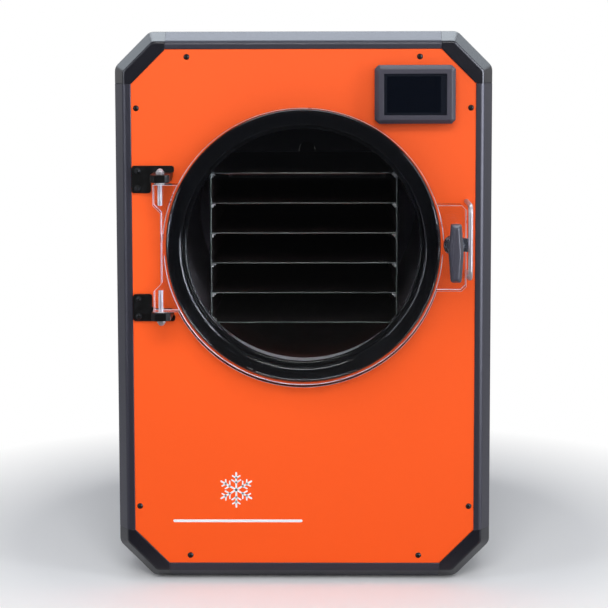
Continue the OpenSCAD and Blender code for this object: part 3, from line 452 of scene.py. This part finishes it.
# ---- Feet and mounts ----
# Four turned rubber feet under the pan, and four rubber mounts that carry the
# compressor, all with a dusty bloom.
rubber = Finish("foot_rubber")
bloom = rubber.cloud(160, 4)
rubber.surface(Base_Color=rubber.mix(bloom, grey(0.01), grey(0.028)), Roughness=0.7 + 0.15 * bloom,
               Normal=rubber.relief(bloom, 0.0001))
worked("rubber_feet", "feet", rubber, "foot_rubber", width=0.0006, shortest=0.0001)
dress(rubber, "compressor_mounts")


# ---- Display housing ----
# A moulded housing with bevelled sides at the panel's upper right, in grained dark
# plastic. Its neck goes through the panel.
housing = Finish("display_housing")
pitting = housing.cloud(1100, 3)
housing.surface(
    Base_Color=housing.mix(pitting, (0.033, 0.03, 0.046, 1), (0.048, 0.044, 0.065, 1)),
    Roughness=0.42 + 0.15 * pitting, Normal=housing.relief(pitting, 0.00008))
worked("display_bezel", "display_housing", housing, "display_plastic", width=0.0008)


# ---- Display glass ----
# A black touch glass set into the housing. The area that lights up behind it is only
# just to be seen, and nothing is shown on it.
glass = Finish("display_glass")
screen_low, screen_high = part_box("display_screen")
left_border, right_border, end_border = 0.0055, 0.0095, 0.005
across = glass.axis("x")
up = glass.axis("z")
in_width = (across > screen_low.x + left_border) * (across < screen_high.x - right_border)
in_height = (up > screen_low.z + end_border) * (up < screen_high.z - end_border)
smear = glass.cloud(60, 4)
glass.surface(
    Base_Color=glass.mix(in_width * in_height, grey(0.012, 0.3), grey(0.0045, 0.5)),
    Roughness=0.07 + 0.12 * smear.ramp(0.4, 0.9), Coat_Weight=0.3, Coat_Roughness=0.04)
worked("display_screen", "display_glass", glass, "screen_glass", width=0.0003)


# ---- Circuit boards ----
# The board behind the display and the control board inside the cabinet, in green
# solder mask with the pattern of their tracks.
board = Finish("circuit_board")
tracks = board.add("ShaderNodeTexBrick", {
    "Vector": board.place, "Scale": 260, "Color1": (0.01, 0.09, 0.035, 1),
    "Color2": (0.012, 0.13, 0.05, 1), "Mortar": (0.03, 0.22, 0.09, 1), "Mortar Size": 0.03})
board.surface(Base_Color=tracks, Roughness=0.4)
dress(board, "display_board", "control_board")


# ---- Chamber ----
# A rolled and polished stainless drum with a dished end. The polishing belt ran
# round it, so its fine lines go round the axis. Light and shade are painted on it:
# pale flanks as painted light, a painted pool of light on the floor behind the rim,
# a brown painted reflection and shade on the floor beyond, and a dark crown as painted shade.
chamber_low, chamber_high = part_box("vacuum_chamber")
axis_z = (chamber_low.z + chamber_high.z) / 2
lit_flank_from, lit_flank_to = 0.11, 0.15
floor_depth = 0.1
lit_band_back, lit_band_front = -0.149, -0.152
steel = Finish("chamber_steel")
lines = steel.cloud(70, 3, steel.stretched(1, 30, 1))
stain = steel.cloud(7, 3)
# Painted light: the side walls are painted pale and less metallic, as if lit.
painted_lit_flank = steel.axis("x").size().ramp(lit_flank_from, lit_flank_to)
low_down = steel.axis("z").ramp(axis_z, axis_z - floor_depth)
# Painted light: a pale band on the floor just behind the rim is a painted pool of light.
painted_lit_band = low_down * steel.axis("y").ramp(lit_band_back, lit_band_front)
# Painted reflection and shade: the floor is painted brown, as the mats reflected in it, and the
# rest a dark steel grey.
film_and_painted_reflection = steel.mix(low_down, grey(0.16, 0.05), (0.13, 0.028, 0.02, 1))
middle = steel.mix(painted_lit_band, film_and_painted_reflection, grey(0.8, 0.04))
steel.surface(
    Base_Color=steel.mix(painted_lit_flank, middle, (0.9, 0.87, 1.0, 1)),
    Metallic=0.6 - 0.5 * (painted_lit_flank + painted_lit_band).ramp(0, 1),
    Roughness=0.1 + 0.14 * lines + 0.06 * stain, Normal=steel.relief(lines, 0.00002))
dress(steel, "vacuum_chamber")


# ---- Gasket ----
# A deep ring of glossy black rubber, moulded over the chamber's rim. The door
# closes on its outer land, and a softer lip lies just inside.
def turned(name, rings, sides=192):
    """Draws a ring round the chamber's axis from radius to radius, and closes it."""
    bpy.ops.object.select_all(action="DESELECT")
    radius, depth = rings[0]
    bpy.ops.mesh.primitive_circle_add(vertices=sides, radius=radius, location=(0, depth, axis_z),
                                      rotation=(math.pi / 2, 0, 0))
    ring = bpy.context.object
    ring.name = name
    bpy.ops.object.transform_apply()
    bpy.ops.object.mode_set(mode="EDIT")
    bpy.ops.mesh.select_all(action="SELECT")
    for next_radius, next_depth in rings[1:]:
        bpy.ops.mesh.extrude_region_move(
            TRANSFORM_OT_translate={"value": (0, next_depth - depth, 0)})
        ratio = next_radius / radius
        bpy.ops.transform.resize(value=(ratio, 1, ratio), center_override=(0, next_depth, axis_z))
        radius, depth = next_radius, next_depth
    bpy.ops.mesh.select_all(action="DESELECT")
    bpy.ops.mesh.select_non_manifold()
    bpy.ops.mesh.bridge_edge_loops()
    bpy.ops.mesh.select_all(action="SELECT")
    bpy.ops.mesh.normals_make_consistent(inside=False)
    bpy.ops.object.mode_set(mode="OBJECT")
    bpy.ops.object.shade_smooth_by_angle(angle=math.radians(40))
    return ring


gasket_low, gasket_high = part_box("door_gasket")
panel_gap = 0.0006
front, root = gasket_low.y, panel_face - panel_gap
outer = (gasket_high.x - gasket_low.x) / 2


def arc(centre_radius, centre_depth, size, start, end, steps=6):
    """Points round a quarter arc; 0 degrees is outwards, 90 is to the front."""
    turns = [math.radians(start + (end - start) * step / steps) for step in range(steps + 1)]
    return [(centre_radius + size * math.cos(turn), centre_depth - size * math.sin(turn))
            for turn in turns]


bore, socket, neck = 0.1480, 0.1629, 0.1662
tail, shoulder = -0.2595, -0.2655
edge_round, land_round, land_inside = 0.005, 0.0072, 0.1592
lip_round, lip_radius, lip_back = 0.0018, 0.1500, 0.014
groove, foot = (0.1512, front + 0.012), (bore, front + 0.018)
gasket = turned("gasket", [
    (neck, root), (outer, root),
    *arc(outer - edge_round, front + edge_round, edge_round, 0, 90),
    *arc(land_inside, front + land_round, land_round, 90, 180, 10), groove,
    *arc(lip_radius, front + lip_back, lip_round, 90, 180, 3), foot,
    (bore, tail), (socket, tail), (socket, shoulder), (neck, shoulder)])
seal = Finish("gasket_rubber")
ripple = seal.cloud(90, 2)
film_and_painted_reflection = seal.cloud(14, 3)
seal.surface(
    Base_Color=seal.mix(film_and_painted_reflection, grey(0.0012, 0.2), grey(0.003, 0.2)),
    Roughness=0.07 + 0.08 * ripple, Normal=seal.relief(ripple, 0.00005))
fit(gasket, seal, stands_for=["door_gasket"])


# ---- Coil and drier ----
# Drawn copper tube wound on the drum and soldered, and the copper filter drier in the
# same circuit. Both have darkened in patches.
copper = Finish("drawn_copper")
patina = copper.cloud(30, 4)
copper.surface(Base_Color=copper.mix(patina.ramp(0.35, 0.8), (0.62, 0.24, 0.13, 1),
                                     (0.22, 0.09, 0.05, 1)),
               Metallic=0.9, Roughness=0.3 + 0.3 * patina)
dress(copper, "cooling_coil", "filter_drier")


# ---- Foam jacket ----
# Cream insulating foam, cast round the drum and its coil, with a coarse open skin.
# It carries the chamber on the two saddles.
foam = Finish("cream_foam")
cells = foam.add("ShaderNodeTexVoronoi", {"Vector": foam.place, "Scale": 300})
foam.surface(Base_Color=foam.mix(cells, (0.6, 0.5, 0.28, 1), (0.75, 0.68, 0.42, 1)),
             Roughness=0.85, Normal=foam.relief(cells, 0.0008))
dress(foam, "insulation_jacket")


# ---- Rack ----
# Six thin stainless shelves between two flat side plates. Their faces are dark
# brown, and their front edges are painted pale as a painted highlight.
plate = Finish("rack_steel")
strokes_y = plate.cloud(60, 3, plate.stretched(14, 1, 14))
rack_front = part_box("shelf_1")[0].y
brown_from, highlight_to = rack_front + 0.004, rack_front + 0.001
# Painted highlight: the front few millimetres of shelves and plates are painted pale, as if lit.
edge_highlight_band = plate.axis("y").ramp(brown_from, highlight_to)
dark_brown_faces = plate.mix(strokes_y, (0.05, 0.036, 0.034, 1), (0.08, 0.06, 0.056, 1))
painted_edge_highlight = plate.mix(strokes_y, (0.14, 0.16, 0.15, 1), (0.2, 0.225, 0.21, 1))
plate.surface(
    Base_Color=plate.mix(edge_highlight_band, dark_brown_faces, painted_edge_highlight), Metallic=1.0,
    Roughness=0.3 + 0.16 * strokes_y, Normal=plate.relief(strokes_y, 0.00002))
for number in range(1, 7):
    worked("shelf_%d" % number, "shelf_plate_%d" % number, plate, "rack_steel", width=0.0004)
for side in ("left", "right"):
    worked("rack_side_" + side, side + "_side_plate", plate, "rack_steel", width=0.0004)


# ---- Heater mats ----
# A thin reddish silicone mat with a woven face, bonded to the underside of each
# shelf and a little smaller than it on all sides.
mat = Finish("heater_mat")
weave = mat.add("ShaderNodeTexWave", {"Vector": mat.place, "Scale": 300, "Distortion": 2.0})
mat.surface(Base_Color=mat.mix(weave, (0.12, 0.022, 0.014, 1), (0.18, 0.034, 0.02, 1)),
            Roughness=0.6, Normal=mat.relief(weave, 0.0001))
dress(mat, "heater_mats")


# ---- Keeper nuts and drain pipe ----
# Bright drawn steel: the two nuts that fix the keeper behind the panel, and the pipe
# that leads from the chamber's floor to the drain valve.
bright = Finish("bright_steel")
haze = bright.cloud(40, 3)
bright.surface(Base_Color=bright.mix(haze, grey(0.55, 0.02), grey(0.66, 0.02)), Metallic=1.0,
               Roughness=0.12 + 0.16 * haze)
dress(bright, "keeper_nuts", "drain_pipe")


# ---- Shelf cleats ----
# Small pale cleats in dull zinc plate, two to a side, that hold each shelf between
# the side plates.
cleat = Finish("cleat_zinc")
spangle = cleat.cloud(300, 3)
cleat.surface(Base_Color=cleat.mix(spangle, grey(0.2), grey(0.42)), Metallic=0.2,
              Roughness=0.4 + 0.2 * spangle)
dress(cleat, "shelf_cleats")


# ---- Vacuum pipe ----
# A bead-blasted steel pipe from the chamber's dished end to the flanged port at the
# back. A black disc with eased edges closes its inner mouth, as painted shade.
bead = Finish("blasted_steel")
peen = bead.cloud(700, 3)
bead.surface(Base_Color=bead.mix(peen, grey(0.02, 0.05), grey(0.035, 0.05)), Metallic=0.6,
             Roughness=0.45 + 0.15 * peen, Normal=bead.relief(peen, 0.00004))
dress(bead, "vacuum_pipe")

pipe_low, pipe_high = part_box("vacuum_pipe")
# Painted shade: a black disc stands in for the shade inside the pipe's mouth.
shade_disc_radius, shade_disc_depth, shade_disc_inset = 0.0122, 0.0012, 0.004
bpy.ops.object.select_all(action="DESELECT")
bpy.ops.mesh.primitive_cylinder_add(
    vertices=64, radius=shade_disc_radius, depth=shade_disc_depth, rotation=(math.pi / 2, 0, 0),
    location=(0, pipe_low.y + shade_disc_inset, (pipe_low.z + pipe_high.z) / 2))
shade_disc = bpy.context.object
shade_disc.name = "port_shade_disc"
bpy.ops.object.transform_apply()
round_edges(shade_disc, 0.0003, shortest=0)
# Painted shade: the disc is near black, the shade in the pipe.
shade_black = Finish("painted_shade_black")
disc_pattern = shade_black.add("ShaderNodeTexVoronoi", {"Vector": shade_black.place, "Scale": 1400})
shade_black.surface(Base_Color=shade_black.mix(disc_pattern.ramp(0.2, 0.6), grey(0.012), grey(0.004)),
              Roughness=0.5 + 0.2 * disc_pattern, Normal=shade_black.relief(disc_pattern, 0.0002))
fit(shade_disc, shade_black)


# ---- Door ----
# A disc of clear acrylic, 30 mm thick, with one tab for the hinge bolts and one
# for the latch. Its edges are flame polished and a little soft, and carry a painted highlight.
door_low, door_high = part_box("door")
door_middle = (door_low.y + door_high.y) / 2
door_depth = door_high.y - door_low.y
door_radius = (door_high.z - door_low.z) / 2
tab_root = 0.10
latch_tab_half, latch_tab_corner = 0.054, 0.006
hinge_tab_half = 0.07985
notch_half, notch_depth, notch_flare = 0.0445, 0.0095, 0.019
bolt_bore, bolt_bore_length, bolt_from_axis = 0.00306, 0.028, 0.0674
stem_bore, stem_bore_length, stem_clear = 0.00606, 0.04, 0.008


def block(low_x, high_x, low_z, high_z):
    """A block as deep as the door."""
    bpy.ops.object.select_all(action="DESELECT")
    bpy.ops.mesh.primitive_cube_add(size=1)
    made = bpy.context.object
    made.data.transform(Matrix.Translation(((low_x + high_x) / 2, door_middle,
                                            axis_z + (low_z + high_z) / 2))
                        @ Matrix.Diagonal((high_x - low_x, door_depth, high_z - low_z, 1)))
    return made


def bored(radius, length, place, upright):
    """A round cutter, upright or from front to back."""
    bpy.ops.object.select_all(action="DESELECT")
    bpy.ops.mesh.primitive_cylinder_add(
        vertices=32, radius=radius, depth=length, location=place,
        rotation=(0 if upright else math.pi / 2, 0, 0))
    made = bpy.context.object
    bpy.ops.object.transform_apply()
    return made


def joined(piece, other, operation):
    """Adds or cuts one solid with another."""
    only(piece)
    change = piece.modifiers.new("join", "BOOLEAN")
    change.operation = operation
    change.solver = "EXACT"
    change.object = other
    bpy.ops.object.modifier_apply(modifier=change.name)
    bpy.data.objects.remove(other)


bpy.ops.object.select_all(action="DESELECT")
bpy.ops.mesh.primitive_cylinder_add(
    vertices=256, radius=door_radius, depth=door_depth, location=(0, door_middle, axis_z),
    rotation=(math.pi / 2, 0, 0))
door = bpy.context.object
door.name = "door_disc"
bpy.ops.object.transform_apply()

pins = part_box("hinge_washers")
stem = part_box("latch_stem")
hinge_x = (pins[0].x + pins[1].x) / 2
latch_x, latch_z = (stem[0].x + stem[1].x) / 2, (stem[0].z + stem[1].z) / 2

# The latch tab is a block with its two outer corners cut off.
latch_tab = block(tab_root, door_high.x, -latch_tab_half, latch_tab_half)
only(latch_tab)
bpy.ops.object.mode_set(mode="EDIT")
bpy.ops.mesh.select_mode(type="EDGE")
bpy.ops.mesh.select_all(action="DESELECT")
shape = bmesh.from_edit_mesh(latch_tab.data)
for edge in shape.edges:
    edge.select_set(min(v.co.x for v in edge.verts) > door_high.x - 0.001
                    and abs(edge.verts[0].co.y - edge.verts[1].co.y) > 0.01)
bmesh.update_edit_mesh(latch_tab.data)
bpy.ops.mesh.bevel(offset=latch_tab_corner, segments=1, affect="EDGES")
bpy.ops.object.mode_set(mode="OBJECT")
joined(door, latch_tab, "UNION")

# The hinge tab is notched between its two ends to clear the gasket, and the
# notch widens outwards.
joined(door, block(door_low.x, -tab_root, -hinge_tab_half, hinge_tab_half), "UNION")
notch = block(door_low.x - notch_depth, door_low.x + notch_depth, -notch_half, notch_half)
only(notch)
bpy.ops.object.mode_set(mode="EDIT")
bpy.ops.mesh.select_mode(type="FACE")
bpy.ops.mesh.select_all(action="DESELECT")
shape = bmesh.from_edit_mesh(notch.data)
for face in shape.faces:
    face.select_set(face.calc_center_median().x < door_low.x - notch_depth * 0.9)
bmesh.update_edit_mesh(notch.data)
past_faces = 1.2
bpy.ops.transform.resize(value=(1, past_faces, (notch_half + notch_flare) / notch_half),
                         center_override=(door_low.x, door_middle, axis_z))
bpy.ops.object.mode_set(mode="OBJECT")
joined(door, notch, "DIFFERENCE")

# Bores for the two hinge bolts and for the latch's stem.
for end in (-bolt_from_axis, bolt_from_axis):
    joined(door, bored(bolt_bore, bolt_bore_length, (hinge_x, door_middle, axis_z + end), True),
           "DIFFERENCE")
joined(door, bored(stem_bore, stem_bore_length, (latch_x, door_middle, latch_z), False),
       "DIFFERENCE")


def away_from_stem(edge):
    """True for an edge that isn't one of the stem's bore."""
    corner = edge.verts[0].co
    return abs(corner.x - latch_x) > stem_clear or abs(corner.z - latch_z) > stem_clear


round_edges(door, 0.0006, shortest=0.0008, where=away_from_stem)

acrylic = Finish("clear_acrylic")
clear = acrylic.add("ShaderNodeBsdfPrincipled", {
    "Base Color": (0.975, 0.985, 0.99, 1), "Roughness": 0.0, "IOR": 1.49,
    "Transmission Weight": 1.0}, out="BSDF")
shadow = acrylic.add("ShaderNodeLightPath", out="Is Shadow Ray")
let_by = acrylic.add("ShaderNodeBsdfTransparent", {"Color": (0.98, 0.98, 0.985, 1)})
acrylic.add_output(acrylic.add("ShaderNodeMixShader", {0: shadow, 1: clear, 2: let_by}))
fit(door, acrylic, body="door", stands_for=["door"])

# The rounded edges are painted a pale pinkish white, a painted highlight that makes them brighter
# than the faces.
glint_coat = Finish("painted_edge_glint")
glint_mottle = glint_coat.cloud(45, 3)
glint_coat.surface(
    Base_Color=glint_coat.mix(glint_mottle.ramp(0.35, 0.7), (0.62, 0.5, 0.62, 1), (0.88, 0.84, 0.9, 1)),
    Roughness=0.2 + 0.2 * glint_mottle, Transmission_Weight=0.6, IOR=1.49)
door.data.materials.append(glint_coat.material)
for face in door.data.polygons:
    rounded = 0.12 < abs(face.normal.y) < 0.98
    face.material_index = int(rounded)


# ---- Hinge plates ----
# Two machined steel plates with an ear each, in satin black that is rubbed in
# patches. Two screws hold each to the panel.
hinge_black = Finish("satin_black")
rubbed = hinge_black.cloud(120, 4)
hinge_black.surface(
    Base_Color=hinge_black.mix(rubbed.ramp(0.5, 0.8), grey(0.003), grey(0.012, 0.1)),
    Metallic=0.2, Roughness=0.3 + 0.2 * rubbed, Specular_IOR_Level=0.35)
for end in ("upper", "lower"):
    worked("hinge_bracket_" + end, end + "_hinge_plate", hinge_black, "black_steel",
           width=0.0006, shortest=0.0012, segments=2)


# ---- Hinge bolts and washers ----
# A dome-headed bolt of brushed stainless steel goes through each ear and a milky
# nylon washer into the door's tab.
satin = Finish("satin_steel")
brushing = satin.cloud(60, 3, satin.stretched(12, 12, 1))
satin.surface(
    Base_Color=satin.mix(brushing, (0.36, 0.335, 0.35, 1), (0.48, 0.445, 0.46, 1)),
    Metallic=0.55, Roughness=0.3 + 0.14 * brushing)
worked("hinge_bolts", "dome_bolts", satin, "bright_steel", width=0.0004, shortest=0.002)
nylon = Finish("nylon")
milky = nylon.cloud(200, 2)
nylon.surface(Base_Color=nylon.mix(milky, grey(0.72), grey(0.82)), Roughness=0.35 + 0.1 * milky)
worked("hinge_washers", "hinge_washer_rings", nylon, "nylon", width=0.0003, shortest=0.0002)


# ---- Latch cam and hub ----
# A cast zinc cam with a short and a long arm, on a stem that goes through the door's
# tab and has a conical hub behind the knob. Their cast skin is mottled.
cast = Finish("cast_zinc")
mottle = cast.cloud(220, 4)
cast.surface(Base_Color=cast.mix(mottle, grey(0.3, 0.14), grey(0.6, 0.1)), Metallic=0.95,
             Roughness=0.14 + 0.22 * mottle, Normal=cast.relief(mottle, 0.0001))
worked("latch_cam", "cam_plate", cast, "zinc_cast", body="latch", width=0.0006, shortest=0.0012)
worked("latch_stem", "latch_hub", cast, "zinc_cast", body="latch", width=0.0006, shortest=0.0012)


# ---- Latch knob ----
# A moulded bar of dark plastic, wider in the middle, pressed on the stem. All its
# edges run softly into each other, so it is meshed again and eased.
knob = Finish("knob_plastic")
leather = knob.cloud(500, 3)
knob.surface(Base_Color=knob.mix(leather, (0.038, 0.037, 0.052, 1), (0.056, 0.055, 0.078, 1)),
             Roughness=0.3 + 0.15 * leather, Normal=knob.relief(leather, 0.0001))
grip = worked("latch_knob", "bar_knob", knob, "knob_plastic", body="latch",
              width=0.0016, shortest=0.0004, segments=3, sharp=25)
only(grip)
even = grip.modifiers.new("even", "REMESH")
even.mode = "VOXEL"
even.voxel_size = 0.0007
bpy.ops.object.modifier_apply(modifier=even.name)
ease = grip.modifiers.new("ease", "SMOOTH")
ease.factor = 0.5
ease.iterations = 24
bpy.ops.object.modifier_apply(modifier=ease.name)
bpy.ops.object.shade_smooth()


# ---- Keeper ----
# A rod of the same brushed stainless steel as the hinge bolts, bent to a U. Its two
# legs go through the panel's flange, and the cam turns in behind it.
dress(satin, "latch_keeper")


# ---- Compressor ----
# A sealed steel pot with a domed lid, on a flat plate, in gloss black enamel that
# has sagged a little. It stands on its rubber mounts in the base pan.
enamel = Finish("gloss_enamel")
sag = enamel.cloud(40, 2)
enamel.surface(Base_Color=grey(0.008), Roughness=0.14 + 0.1 * sag,
               Normal=enamel.relief(sag, 0.0002))
dress(enamel, "compressor")


# ---- Condenser ----
# A block of thin fins on tubes, between two end plates, dulled by dust. The fan
# draws air through it.
fins = Finish("condenser_fins")
grime = fins.cloud(25, 4)
fins.surface(Base_Color=fins.mix(grime, grey(0.5), grey(0.3, -0.05)), Metallic=0.9,
             Roughness=0.35 + 0.2 * grime)
dress(fins, "condenser")


# ---- Fan ----
# A shroud and a motor in dark enamel, and moulded blades that turn on the motor's
# shaft and blow out through the grille at the back.
duct = Finish("duct_enamel")
flow = duct.cloud(50, 3)
duct.surface(Base_Color=duct.mix(flow, grey(0.016), grey(0.03)), Roughness=0.4 + 0.15 * flow)
dress(duct, "fan_shroud", "fan_motor")
blade = Finish("fan_plastic")
mould = blade.cloud(90, 3)
blade.surface(Base_Color=blade.mix(mould, grey(0.035), grey(0.05)), Roughness=0.45 + 0.1 * mould)
dress(blade, "fan_blades")


# ---- Inlet, switch and pump socket ----
# Black moulded plastic fittings, clipped into the rear panel one above the other.
# The switch is a hollow housing for its rocker.
moulded = Finish("black_moulding")
spark = moulded.cloud(900, 3)
moulded.surface(Base_Color=moulded.mix(spark, grey(0.012), grey(0.022)),
                Roughness=0.45 + 0.12 * spark, Normal=moulded.relief(spark, 0.00006))
for node in ("power_inlet", "switch_housing", "pump_socket"):
    worked(node, node + "_moulding", moulded, "black_plastic", width=0.0005, shortest=0.008)


# ---- Rocker and drain lever ----
# The rocker tips in the switch housing, and the lever turns on the drain valve. Both
# are moulded in red plastic.
red = Finish("red_plastic")
cast_mark = red.cloud(80, 2)
red.surface(Base_Color=red.mix(cast_mark, (0.36, 0.012, 0.01, 1), (0.45, 0.02, 0.014, 1)),
            Roughness=0.28 + 0.1 * cast_mark)
worked("power_rocker", "rocker_key", red, "red_plastic", body="rocker",
       width=0.0004, shortest=0.003)
worked("drain_lever", "valve_lever", red, "red_plastic", body="drain_handle",
       width=0.0006, shortest=0.0006, segments=2)


# ---- Drain valve ----
# A quarter-turn valve turned from brass, with a hose barb, on the end of the drain
# pipe. It is tarnished in patches.
brass = Finish("brass")
tarnish = brass.cloud(60, 4)
brass.surface(Base_Color=brass.mix(tarnish, (0.5, 0.36, 0.13, 1), (0.36, 0.24, 0.08, 1)),
              Metallic=1.0, Roughness=0.22 + 0.2 * tarnish)
worked("drain_valve", "valve_body", brass, "brass", width=0.0006, shortest=0.0006)
